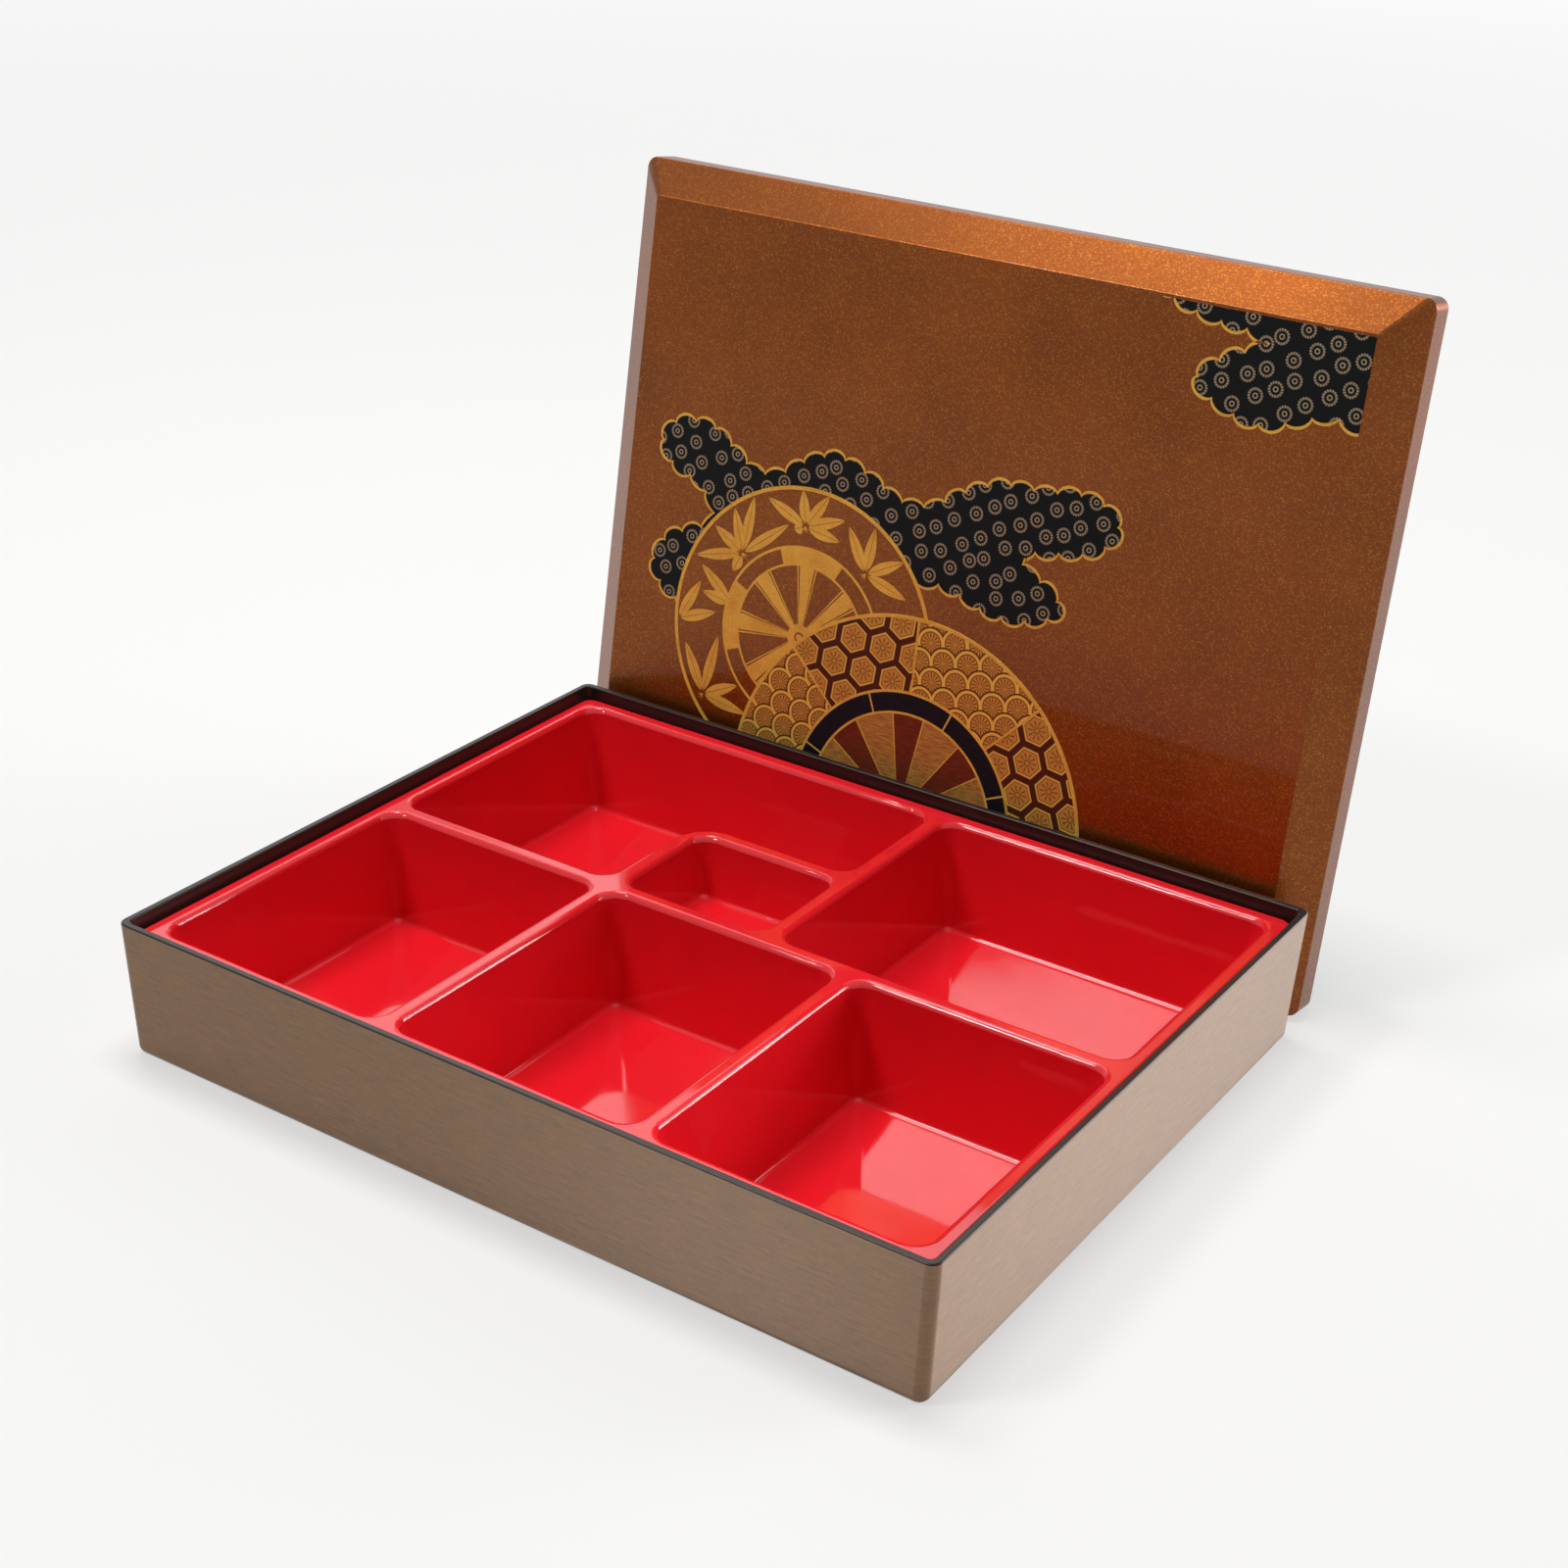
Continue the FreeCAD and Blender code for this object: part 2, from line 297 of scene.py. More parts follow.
def flake_lacquer(tree, sizes):
    """Colour of a brown lacquer with gold flakes, and how bright the flake is at each place.
    One cell in four holds a flake that shows. The brown is a little uneven, in clouds of some
    35 mm."""
    place = add_node(tree, "TexCoord")["Object"]
    cells = add_node(tree, "TexVoronoi", {
        "Vector": place, "Scale": 1 / sizes.flake_size, "Randomness": 1.0}, feature="F1")
    pick = add_node(tree, "SeparateColor", {0: cells["Color"]})[0]
    bright = add_node(tree, "MapRange", {0: pick, 1: 0.75, 2: 1.0, 3: 0.0, 4: FLAKE_SHARE})[0]
    cloud = add_node(tree, "TexNoise", {
        "Vector": place, "Scale": 0.028 / MM, "Detail": 3.0, "Roughness": 0.55})["Fac"]
    tone = add_node(tree, "MapRange", {0: cloud, 1: 0.3, 2: 0.7, 3: 0.88, 4: 1.1})[0]
    brown = add_node(tree, "VectorMath", {0: linear(sizes.brown)[:3], "Scale": tone},
                     operation="SCALE")[0]
    colour = add_node(tree, "Mix", {0: bright, 6: brown, 7: linear(sizes.flake)},
                      data_type="RGBA")[2]
    return colour, bright


def lid_material(sizes):
    """ABS, injection moulded, sprayed with a brown lacquer full of fine gold flakes and a clear
    top coat. The eye gets a grainy brown that turns orange-gold where light strikes it, under
    a smooth gloss. The inside is bare black plastic."""
    material, tree = new_material("moulded_abs_flake_lacquered")
    lacquer, bright = flake_lacquer(tree, sizes)
    inside = lid_inside_mask(tree)
    colour = add_node(tree, "Mix", {0: inside, 6: lacquer, 7: linear(sizes.inside)},
                      data_type="RGBA")[2]
    metal = add_node(tree, "MapRange", {0: inside, 1: 0.0, 2: 1.0, 3: 0.85, 4: 0.0})[0]
    rough = add_node(tree, "MapRange", {0: bright, 1: 0.0, 2: FLAKE_SHARE, 3: 0.34, 4: 0.3})[0]
    shader = add_node(tree, "BsdfPrincipled", {
        "Base Color": colour, "Metallic": metal, "Roughness": rough, "IOR": 1.5,
        "Coat Weight": 0.21, "Coat Roughness": 0.03, "Coat IOR": 1.5})[0]
    add_node(tree, "OutputMaterial", {"Surface": shader})
    return material


def panel_distances(tree, count):
    """How far a point lies across, up and out from the middle of the lid's panel, in metres, or
    the first of these."""
    centre, *ways = panel_frame()
    place = add_node(tree, "TexCoord")["Object"]
    offset = add_node(tree, "VectorMath", {0: place, 1: centre}, operation="SUBTRACT")[0]
    return [add_node(tree, "VectorMath", {0: offset, 1: way}, operation="DOT_PRODUCT")["Value"]
            for way in ways[:count]]


def lid_inside_mask(tree):
    """One inside the lid's hollow, nought on its outer faces. A point is inside where it lies
    deeper than almost half a wall under the panel, the bevels and the skirt alike."""
    low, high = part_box("lid")
    aside, along, out = panel_distances(tree, 3)
    drop = add_node(tree, "Math", {0: out, 1: -1.0}, operation="MULTIPLY")[0]
    shift = add_node(tree, "Math", {
        0: drop, 1: -LID_BEVEL_RUN / LID_BEVEL_HEIGHT, 2: LID_BEVEL_RUN},
        operation="MULTIPLY_ADD")[0]
    shift = add_node(tree, "Math", {0: shift, 1: 0.0}, operation="MAXIMUM")[0]
    gaps = []
    for value, half in ((aside, (high.x - low.x) / 2), (along, LID_HALF_DEPTH)):
        size = add_node(tree, "Math", {0: value}, operation="ABSOLUTE")[0]
        gap = add_node(tree, "Math", {0: half, 1: size}, operation="SUBTRACT")[0]
        gaps.append(add_node(tree, "Math", {0: gap, 1: shift}, operation="SUBTRACT")[0])
    side = add_node(tree, "Math", {0: gaps[0], 1: gaps[1]}, operation="MINIMUM")[0]
    nearest = add_node(tree, "Math", {0: side, 1: drop}, operation="MINIMUM")[0]
    return add_node(tree, "Math", {0: nearest, 1: LID_WALL * 0.45}, operation="GREATER_THAN")[0]


# Inks, drawn by formulas in millimetres on the lid's panel

def add_ink(tree, colour, roughness):
    """Ink on the lacquer, with a weak gloss of its own."""
    shader = add_node(tree, "BsdfPrincipled", {
        "Base Color": colour, "Roughness": roughness, "IOR": 1.3, "Specular IOR Level": 0.2})[0]
    add_node(tree, "OutputMaterial", {"Surface": shader})


def gold_ink_material(name, light, dark):
    """Screen-printed gold ink. The eye gets a warm matt gold with a fine powder grain of about
    half a millimetre, a little duller in patches of some 8 mm."""
    material, tree = new_material(name)
    place = add_node(tree, "TexCoord")["Object"]
    grain = add_node(tree, "TexNoise", {
        "Vector": place, "Scale": 1.6 / MM, "Detail": 2.0, "Roughness": 0.7})["Fac"]
    wear = add_node(tree, "TexNoise", {
        "Vector": place, "Scale": 0.12 / MM, "Detail": 2.0, "Roughness": 0.6})["Fac"]
    both = add_node(tree, "Mix", {0: 0.4, 2: grain, 3: wear}, data_type="FLOAT")[0]
    tone = add_node(tree, "MapRange", {0: both, 1: 0.35, 2: 0.6, 3: 0.0, 4: 1.0})[0]
    colour = add_node(tree, "Mix", {0: tone, 6: linear(dark), 7: linear(light)},
                      data_type="RGBA")[2]
    add_ink(tree, colour, 0.5)
    return material


def panel_place(tree):
    """Place on the lid's panel, in millimetres across and up from its middle."""
    values = [add_node(tree, "Math", {0: value, 1: 1 / MM}, operation="MULTIPLY")[0]
              for value in panel_distances(tree, 2)]
    return add_node(tree, "CombineXYZ", {0: values[0], 1: values[1]})[0]


def turned_place(tree, centre, degrees):
    """Place on the lid's panel from a centre on it, turned back by an angle."""
    moved = add_node(tree, "VectorMath", {0: panel_place(tree), 1: (*centre, 0)},
                     operation="SUBTRACT")[0]
    return add_node(tree, "VectorRotate", {"Vector": moved, "Angle": math.radians(-degrees)},
                    rotation_type="Z_AXIS")[0]


def band(tree, value, middle, half_width, softness=0.12):
    """One where a value lies within a half width of a middle, with a soft edge."""
    off = add_node(tree, "Math", {0: value, 1: middle}, operation="SUBTRACT")[0]
    size = add_node(tree, "Math", {0: off}, operation="ABSOLUTE")[0]
    return add_node(tree, "MapRange", {
        0: size, 1: half_width - softness, 2: half_width + softness, 3: 1.0, 4: 0.0})[0]


def petals(tree, offset, count, *spread):
    """Strokes that go round a centre a number of times, from a cosine that Map Range spreads."""
    parts = add_node(tree, "SeparateXYZ", {0: offset})
    angle = add_node(tree, "Math", {0: parts[1], 1: parts[0]}, operation="ARCTAN2")[0]
    many = add_node(tree, "Math", {0: angle, 1: count}, operation="MULTIPLY")[0]
    wave = add_node(tree, "Math", {0: many}, operation="COSINE")[0]
    return add_node(tree, "MapRange", {0: wave, **dict(enumerate(spread, 1))})[0]


def cloud_material(sizes, inks):
    """Black screen-printed ink strewn with small gold flower roundels. The eye gets rings of
    thin gold line, about five millimetres across, each with a ring of petals."""
    material, tree = new_material("screen_printed_black_roundels")
    place = turned_place(tree, (0, 0), 28)
    pitch = sizes.roundel / MM
    cell = add_node(tree, "VectorMath", {0: place, "Scale": 1 / pitch}, operation="SCALE")[0]
    flowers = add_node(tree, "TexVoronoi", {"Vector": cell, "Scale": 1.0, "Randomness": 0.32},
                       voronoi_dimensions="2D", feature="F1")
    radius = add_node(tree, "Math", {0: flowers["Distance"], 1: pitch}, operation="MULTIPLY")[0]
    offset = add_node(tree, "VectorMath", {0: cell, 1: flowers["Position"]},
                      operation="SUBTRACT")[0]
    ring = band(tree, radius, 2.25, 0.38)
    strokes = petals(tree, offset, 16.0, -0.3, 0.5, 0.25, 0.9)
    flower = add_node(tree, "Math", {0: ring, 1: strokes}, operation="MULTIPLY")[0]
    eye = band(tree, radius, 0.75, 0.17)
    lines = add_node(tree, "Math", {0: eye, 1: flower}, operation="MAXIMUM")[0]
    colour = add_node(tree, "Mix", {0: lines, 6: linear(inks.black), 7: linear(inks.thread)},
                      data_type="RGBA")[2]
    add_ink(tree, colour, 0.4)
    return material


def add_copper_pattern(tree, inks, pale, marks):
    """Copper-gold ink that is paler in places, under dark red-brown marks."""
    ground = add_node(tree, "Mix", {0: pale, 6: linear(inks.copper), 7: linear(inks.gold)},
                      data_type="RGBA")[2]
    colour = add_node(tree, "Mix", {0: marks, 6: ground, 7: linear(inks.line)}, data_type="RGBA")[2]
    add_ink(tree, colour, 0.5)


def hexagon_material(name, sizes, inks, centre, degrees):
    """Screen-printed copper-gold ink. The eye gets tortoiseshell hexagons with dark gaps between
    them and a dark flower in each."""
    material, tree = new_material(name)
    pitch = sizes.hexagon / MM
    tall = pitch * math.sqrt(3)
    place = turned_place(tree, centre, degrees)

    # a hexagon's middle is the nearer one of two rectangular nets, half a cell apart
    offsets = []
    for share in (0.0, 0.5):
        cell = add_node(tree, "VectorMath", {
            0: place, 1: (1 / pitch, 1 / tall, 0), 2: (share, share, 0)},
            operation="MULTIPLY_ADD")[0]
        part = add_node(tree, "VectorMath", {0: cell}, operation="FRACTION")[0]
        middle = add_node(tree, "VectorMath", {0: part, 1: (0.5, 0.5, 0)}, operation="SUBTRACT")[0]
        offsets.append(add_node(tree, "VectorMath", {0: middle, 1: (pitch, tall, 0)},
                                operation="MULTIPLY")[0])
    lengths = [add_node(tree, "VectorMath", {0: offset}, operation="LENGTH")["Value"]
               for offset in offsets]
    second = add_node(tree, "Math", {0: lengths[1], 1: lengths[0]}, operation="LESS_THAN")[0]
    offset = add_node(tree, "Mix", {0: second, 4: offsets[0], 5: offsets[1]}, data_type="VECTOR")[1]

    # edge is the distance from the middle towards the nearest side
    radius = add_node(tree, "VectorMath", {0: offset}, operation="LENGTH")["Value"]
    folded = add_node(tree, "VectorMath", {0: offset}, operation="ABSOLUTE")[0]
    slanted = add_node(tree, "VectorMath", {0: folded, 1: (0.5, math.sqrt(3) / 2, 0)},
                       operation="DOT_PRODUCT")["Value"]
    level = add_node(tree, "SeparateXYZ", {0: folded})[0]
    edge = add_node(tree, "Math", {0: level, 1: slanted}, operation="MAXIMUM")[0]
    side = pitch / 2
    gap = add_node(tree, "MapRange", {0: edge, 1: side - 1.35, 2: side - 1.0, 3: 0.0, 4: 1.0})[0]
    line = band(tree, edge, side - 2.0, 0.16)
    strokes = petals(tree, offset, 10.0, -0.9, -0.3, 1.0, 0.0)
    flower = add_node(tree, "Math", {0: strokes, 1: band(tree, radius, 2.2, 1.25)},
                      operation="MULTIPLY")[0]
    flower = add_node(tree, "Math", {0: line, 1: flower}, operation="MAXIMUM")[0]
    flower = add_node(tree, "Math", {0: flower, 1: band(tree, radius, 0.95, 0.16)},
                      operation="MAXIMUM")[0]
    flower = add_node(tree, "Math", {0: flower, 1: 0.75}, operation="MULTIPLY")[0]
    marks = add_node(tree, "Math", {0: flower, 1: gap}, operation="MAXIMUM")[0]
    add_copper_pattern(tree, inks, band(tree, edge, side - 1.55, 0.35), marks)
    return material


def wave_material(name, sizes, inks, centre, degrees):
    """Screen-printed copper-gold ink. The eye gets overlapping wave scales, each with dark and
    light rings and rays."""
    material, tree = new_material(name)
    wide = sizes.scale / MM
    rise = wide * 0.72
    radius = wide * 0.6
    place = turned_place(tree, centre, degrees)
    parts = add_node(tree, "SeparateXYZ", {0: place})

    # the lowest row whose scales reach a point is drawn over the next row up
    first = add_node(tree, "Math", {0: parts[1], 1: 1 / rise, 2: -radius / rise},
                     operation="MULTIPLY_ADD")[0]
    first = add_node(tree, "Math", {0: first}, operation="CEIL")[0]
    rings, offsets = [], []
    for row_up in (0.0, 1.0):
        row = add_node(tree, "Math", {0: first, 1: row_up}, operation="ADD")[0]
        high = add_node(tree, "Math", {0: row, 1: -rise, 2: parts[1]}, operation="MULTIPLY_ADD")[0]
        column = add_node(tree, "Math", {0: row, 1: 0.5, 2: 0.5}, operation="MULTIPLY_ADD")[0]
        column = add_node(tree, "Math", {0: parts[0], 1: 1 / wide, 2: column},
                          operation="MULTIPLY_ADD")[0]
        column = add_node(tree, "Math", {0: column}, operation="FRACT")[0]
        side = add_node(tree, "Math", {0: column, 1: wide, 2: -wide / 2},
                        operation="MULTIPLY_ADD")[0]
        offsets.append(add_node(tree, "CombineXYZ", {0: side, 1: high})[0])
        rings.append(add_node(tree, "VectorMath", {0: offsets[-1]}, operation="LENGTH")["Value"])
    upper = add_node(tree, "Math", {0: rings[0], 1: radius}, operation="GREATER_THAN")[0]
    ring = add_node(tree, "Mix", {0: upper, 2: rings[0], 3: rings[1]}, data_type="FLOAT")[0]
    offset = add_node(tree, "Mix", {0: upper, 4: offsets[0], 5: offsets[1]}, data_type="VECTOR")[1]

    strokes = petals(tree, offset, 14.0, -0.9, -0.1, 0.85, 0.0)
    core = band(tree, ring, radius / 2 - 0.9, radius / 2 - 1.5)
    rays = add_node(tree, "Math", {0: strokes, 1: core}, operation="MULTIPLY")[0]
    rim = add_node(tree, "Math", {0: band(tree, ring, radius - 0.2, 0.4), 1: 0.95},
                   operation="MULTIPLY")[0]
    inner = add_node(tree, "Math", {0: band(tree, ring, radius - 1.95, 0.2), 1: 0.85},
                     operation="MULTIPLY")[0]
    marks = add_node(tree, "Math", {0: rim, 1: inner}, operation="MAXIMUM")[0]
    marks = add_node(tree, "Math", {0: marks, 1: rays}, operation="MAXIMUM")[0]
    add_copper_pattern(tree, inks, band(tree, ring, radius - 1.15, 0.45), marks)
    return material


def plain_ink_material(name, colour_code, thread_code, share):
    """Screen-printed ink. The eye gets one colour with a fine woven mark, about a millimetre
    apart."""
    material, tree = new_material(name)
    place = panel_place(tree)
    stretched = add_node(tree, "Mapping", {0: place, "Scale": (0.25, 1.3, 1.0)})[0]
    weave = add_node(tree, "TexNoise", {
        "Vector": stretched, "Scale": 1.0, "Detail": 2.0, "Roughness": 0.6})["Fac"]
    tone = add_node(tree, "MapRange", {0: weave, 1: 0.4, 2: 0.62, 3: 0.0, 4: share})[0]
    colour = add_node(tree, "Mix", {0: tone, 6: linear(colour_code), 7: linear(thread_code)},
                      data_type="RGBA")[2]
    add_ink(tree, colour, 0.5)
    return material


# Outlines on the lid's panel, in millimetres from its middle

def panel_frame():
    """Middle of the lid's printed face, its direction across and up, and its outward normal."""
    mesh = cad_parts["lid"].data
    front = [face for face in mesh.polygons if face.normal.y < 0]
    widest = max(front, key=lambda face: face.area)
    flat = [face for face in front if (face.normal - widest.normal).length < 0.001
            and abs((face.center - widest.center).dot(widest.normal)) < 0.01 * MM]
    area = sum(face.area for face in flat)
    centre = sum((face.center * face.area for face in flat), Vector()) / area
    across = Vector((1, 0, 0))
    normal = widest.normal.normalized()
    return centre, across, normal.cross(across), normal


def reached(base, heading, along, aside=0.0):
    """Point so far along a heading in degrees from a base, and so far to the left of it."""
    turn = math.radians(heading)
    return (base[0] + along * math.cos(turn) - aside * math.sin(turn),
            base[1] + along * math.sin(turn) + aside * math.cos(turn))


def circle(centre, radius, steps=144):
    """Points of a circle, counter-clockwise."""
    return [reached(centre, 360 * step / steps, radius) for step in range(steps)]


def sector(centre, inner, outer, start, end, steps=24):
    """Outline of a piece of a ring between two angles in degrees."""
    angles = [start + (end - start) * step / steps for step in range(steps + 1)]
    return [reached(centre, angle, outer) for angle in angles] \
        + [reached(centre, angle, inner) for angle in reversed(angles)]


def kept_on_panel(points, sizes):
    """The part of an outline inside the printed rectangle of the panel."""
    for axis, half in ((0, sizes.half_width / MM), (1, sizes.half_height / MM)):
        for sign in (1, -1):
            kept = []
            for index, point in enumerate(points):
                last = points[index - 1]
                here, before = sign * point[axis] + half, sign * last[axis] + half
                if here * before < 0:
                    share = before / (before - here)
                    kept.append(tuple(last[i] + (point[i] - last[i]) * share for i in (0, 1)))
                if here >= 0:
                    kept.append(tuple(point))
            points = kept
    return points


def print_plate(name, shapes, layer, material, sizes, step=0.0):
    """Thin closed plates on the lid's panel, their tops so many layers of ink above it. Each
    shape is an outline in millimetres with its holes, and each lies a little step, in
    millimetres, higher than the one before."""
    if not shapes:
        return
    centre, across, up, normal = panel_frame()
    verts, faces = [], []
    for index, loops in enumerate(shapes):
        top = sizes.relief * layer + step * index * MM
        foot = -sizes.relief / 2
        flat = [point for loop in loops for point in loop]
        count = len(flat)
        start = len(verts)
        for level in (foot, top):
            verts += [centre + across * (u * MM) + up * (v * MM) + normal * level
                      for u, v in flat]
        corners = [[Vector((u, v, 0)) for u, v in loop] for loop in loops]
        for a, b, c in geometry.tessellate_polygon(corners):
            (ax, ay), (bx, by), (cx, cy) = flat[a], flat[b], flat[c]
            if (bx - ax) * (cy - ay) < (by - ay) * (cx - ax):
                b, c = c, b
            faces.append((start + count + a, start + count + b, start + count + c))
            faces.append((start + a, start + c, start + b))
        for loop in loops:
            size = len(loop)
            for i in range(size):
                j = (i + 1) % size
                faces.append((start + i, start + j, start + count + j, start + count + i))
            start += size
    mesh = bpy.data.meshes.new(name)
    mesh.from_pydata(verts, [], faces)
    mesh.validate()
    mesh.update()
    piece = new_object(name, mesh)
    mesh.materials.append(material)
    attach(piece, "lid")


# Cloud banks

# The long bank lies across the panel's middle, and the corner one comes in at its upper right.
# Each is a clockwise row of points, and scallops run along the smooth curve through them.
SCALLOP_DEPTH = 2.3
SCALLOP_POINTS = 14
LONG_CLOUD = [
    (-125, 22), (-119, 30), (-105, 31), (-94, 25), (-84, 19), (-73, 20), (-62, 27), (-50, 31),
    (-36, 27), (-22, 21), (-9, 22), (2, 29), (16, 35), (32, 36), (47, 38), (58, 35), (62, 28),
    (54, 20), (40, 16.5), (28, 13.5), (31, 8), (40, 3.5), (45, -3), (37, -8), (26, -10),
    (16, -9), (4, -5.5), (-8, -5), (-30, -12), (-60, -20), (-88, -34), (-102, -38), (-111, -36),
    (-119, -32), (-124, -24), (-119, -14), (-110, -9), (-101, -5), (-100, 2), (-108, 10),
    (-119, 14),
]
CORNER_CLOUD = [
    (104, 122), (147, 118), (152, 96), (143.5, 79), (129, 81), (118, 78), (108, 74.5),
    (99, 74.5), (89, 78), (81, 83), (83, 88), (92, 94), (103, 99), (97, 102.5), (84, 104),
    (70, 108), (62, 116),
]


def smooth_guide(points, steps=24):
    """Closed smooth curve through some points, as many short runs."""
    curve = []
    count = len(points)
    for index in range(count):
        a, b, c, d = (points[(index + shift) % count] for shift in (-1, 0, 1, 2))
        for step in range(steps):
            t = step / steps
            curve.append(tuple(
                0.5 * (2 * b[i] + (c[i] - a[i]) * t
                       + (2 * a[i] - 5 * b[i] + 4 * c[i] - d[i]) * t * t
                       + (3 * b[i] - a[i] - 3 * c[i] + d[i]) * t ** 3) for i in (0, 1)))
    return curve


def scalloped(points, pitch, grow):
    """Cloud outline: even scallops along a closed clockwise guide, moved out by a distance."""
    curve = smooth_guide(points)
    runs = [math.dist(curve[i], curve[(i + 1) % len(curve)]) for i in range(len(curve))]
    total = sum(runs)
    count = round(total / pitch)
    pitch = total / count
    steps = count * SCALLOP_POINTS
    outline = []
    index, passed = 0, 0.0
    for step in range(steps):
        target = total * step / steps
        while passed + runs[index] < target:
            passed += runs[index]
            index += 1
        a, b = curve[index], curve[(index + 1) % len(curve)]
        share = (target - passed) / runs[index]
        before, after = curve[index - 2], curve[(index + 3) % len(curve)]
        along = (after[0] - before[0], after[1] - before[1])
        length = math.hypot(*along)
        out = (-along[1] / length, along[0] / length)
        swell = SCALLOP_DEPTH * abs(math.sin(math.pi * target / pitch)) ** 0.6 + grow
        outline.append(tuple(a[i] + (b[i] - a[i]) * share + out[i] * swell for i in (0, 1)))
    return outline


def draw_clouds(sizes, inks):
    """Both cloud banks: gold plate below, black plate with roundels on top."""
    gold = gold_ink_material("screen_printed_gold", inks.gold, inks.gold_low)
    black = cloud_material(sizes, inks)
    half_line = sizes.line / MM / 2
    for name, guide in (("long_cloud", LONG_CLOUD), ("corner_cloud", CORNER_CLOUD)):
        for part, grow, layer, ink in (("edge", half_line, 1, gold),
                                       ("ground", -half_line, 2, black)):
            outline = kept_on_panel(scalloped(guide, sizes.scallop / MM, grow), sizes)
            print_plate(f"{name}_{part}", [[outline]], layer, ink, sizes)


# Wheel with leaves in its rim

LEAF_WHEEL = (-56.5, -37.5)
LEAF_WHEEL_RADIUS = 55.5
LEAF_WIDTH = 4.2
LEAF_START = 1.3
LEAF_SHORTEST = 5.0
TUFT_LENGTH = 2.6
TUFT_HALF_WIDTH = 0.3

# Fans of leaves: distance and angle of a fan's foot from the wheel's middle, then the heading
# and length of each leaf, in millimetres and degrees.
SPRAYS = [
    (41, 94, ((200, 5), (157.5, 18.5), (102, 13.6), (57, 16), (20, 17), (-9, 15))),
    (38, 138.5, ((246, 8), (194, 20.6), (150, 15), (109, 16.7), (83.5, 22), (39, 23.7))),
    (38.2, 50.7, ((120, 17.9), (84, 17.3), (27.5, 16.8), (-16.7, 18.6))),
    (31, 170, ((142, 19), (172, 13.5))),
    (54, 186, ((62.6, 18.5), (21, 17.5))),
    (50.3, 219, ((119.5, 20.5), (80, 24), (25, 17), (-8.6, 20))),
]


def leaf(base, heading, length):
    """Two halves of a slim pointed leaf with a thin gap for its rib."""
    shares = [step / 10 for step in range(11)]
    halves = []
    for sign in (1, -1):
        # out along the swelling edge, and back beside the rib
        edge = [(share * length, sign * (
            LEAF_WIDTH / 2 * math.sin(math.pi * share ** 0.8) ** 0.85 + 0.12))
            for share in shares]
        rib = [(share * length * 0.96, sign * 0.1) for share in reversed(shares)]
        half = [reached(base, heading, x, y) for x, y in edge + rib]
        halves.append([half if sign < 0 else half[::-1]])
    return halves


def spray(centre, radius, angle, leaves, inner, outer):
    """Fan of leaves with a small tuft at its foot. A leaf that would leave the wheel's rim is
    cut short, and a point of the tuft is left out there."""
    base = reached(centre, angle, radius)
    shapes = []
    for heading, length in leaves:
        reach = length
        while reach > LEAF_SHORTEST and not inner < math.dist(
                reached(base, heading, reach), centre) < outer:
            reach -= 0.5
        shapes += leaf(reached(base, heading, LEAF_START), heading, reach - LEAF_START)
    middle = sum(heading for heading, length in leaves) / len(leaves)
    for spread in (146, 180, 214):
        tip = reached(base, middle + spread, TUFT_LENGTH)
        if inner < math.dist(tip, centre) < outer:
            shapes.append([[reached(base, middle + spread, 0, TUFT_HALF_WIDTH), tip,
                            reached(base, middle + spread, 0, -TUFT_HALF_WIDTH)]])
    return shapes


def draw_leaf_wheel(sizes):
    """Cart wheel with leaf sprays in its rim, on a disc of the lid's own lacquer."""
    gold = bpy.data.materials["screen_printed_gold"]
    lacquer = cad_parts["lid"].material_slots[0].material
    centre, radius = LEAF_WHEEL, LEAF_WHEEL_RADIUS
    print_plate("leaf_wheel_ground", [[circle(centre, radius - 0.4)]], 3, lacquer, sizes)

    # three rings, and four arcs that fill most of the space between the inner two
    rings = [[circle(centre, outer), circle(centre, inner)]
             for outer, inner in ((radius, radius - 1.4), (33.8, 32.8), (27.4, 26.5))]
    for turn in (0, 90, 180, 270):
        rings.append([sector(centre, 27.2, 33.4, turn - 26, turn + 22)])
    print_plate("leaf_wheel_rings", rings, 4, gold, sizes, 0.002)

    # each spoke widens outwards from the hub's ring, with a thin line beside each of its edges
    spokes = []
    for turn in range(0, 360, 45):
        for low, high in ((-1.0, -0.86), (-0.72, 0.72), (0.86, 1.0)):
            corners = [reached(centre, turn, far, half * share)
                       for far, half, share in ((4.5, 1.2, low), (4.5, 1.2, high),
                                                (26.8, 4.4, high), (26.8, 4.4, low))]
            spokes.append([corners[::-1]])
    spokes.append([circle(centre, 5.0, 48), circle(centre, 2.0, 32)])
    spokes.append([circle(centre, 1.3, 24)])
    print_plate("leaf_wheel_spokes", spokes, 4.2, gold, sizes, 0.002)
    leaves = []
    for place, angle, fan in SPRAYS:
        leaves += spray(centre, place, angle, fan, 34.3, radius - 1.2)
    print_plate("leaf_wheel_sprays", leaves, 4.4, gold, sizes, 0.0003)


# Wheel with a rim pieced from patterns

# Its felloe's radii, how far pieces run under the gold lines, and the angles of its spokes and
# of the first of the patches, which are named counter-clockwise from the top.
PATTERN_WHEEL = (-6.0, -91.0)
PATTERN_WHEEL_RADIUS = 73.0
FELLOE_INNER = 37.0
FELLOE_OUTER = 45.0
OVERLAP = 0.2
SPOKE_ANGLE = 69.0
SPOKE_HALF_ANGLE = 12.5
PATCH_ANGLE = 91.5
PATCHES = ("hexagons_upright", "waves_turned") * 2 + ("hexagons_turned", "waves_upright") * 2


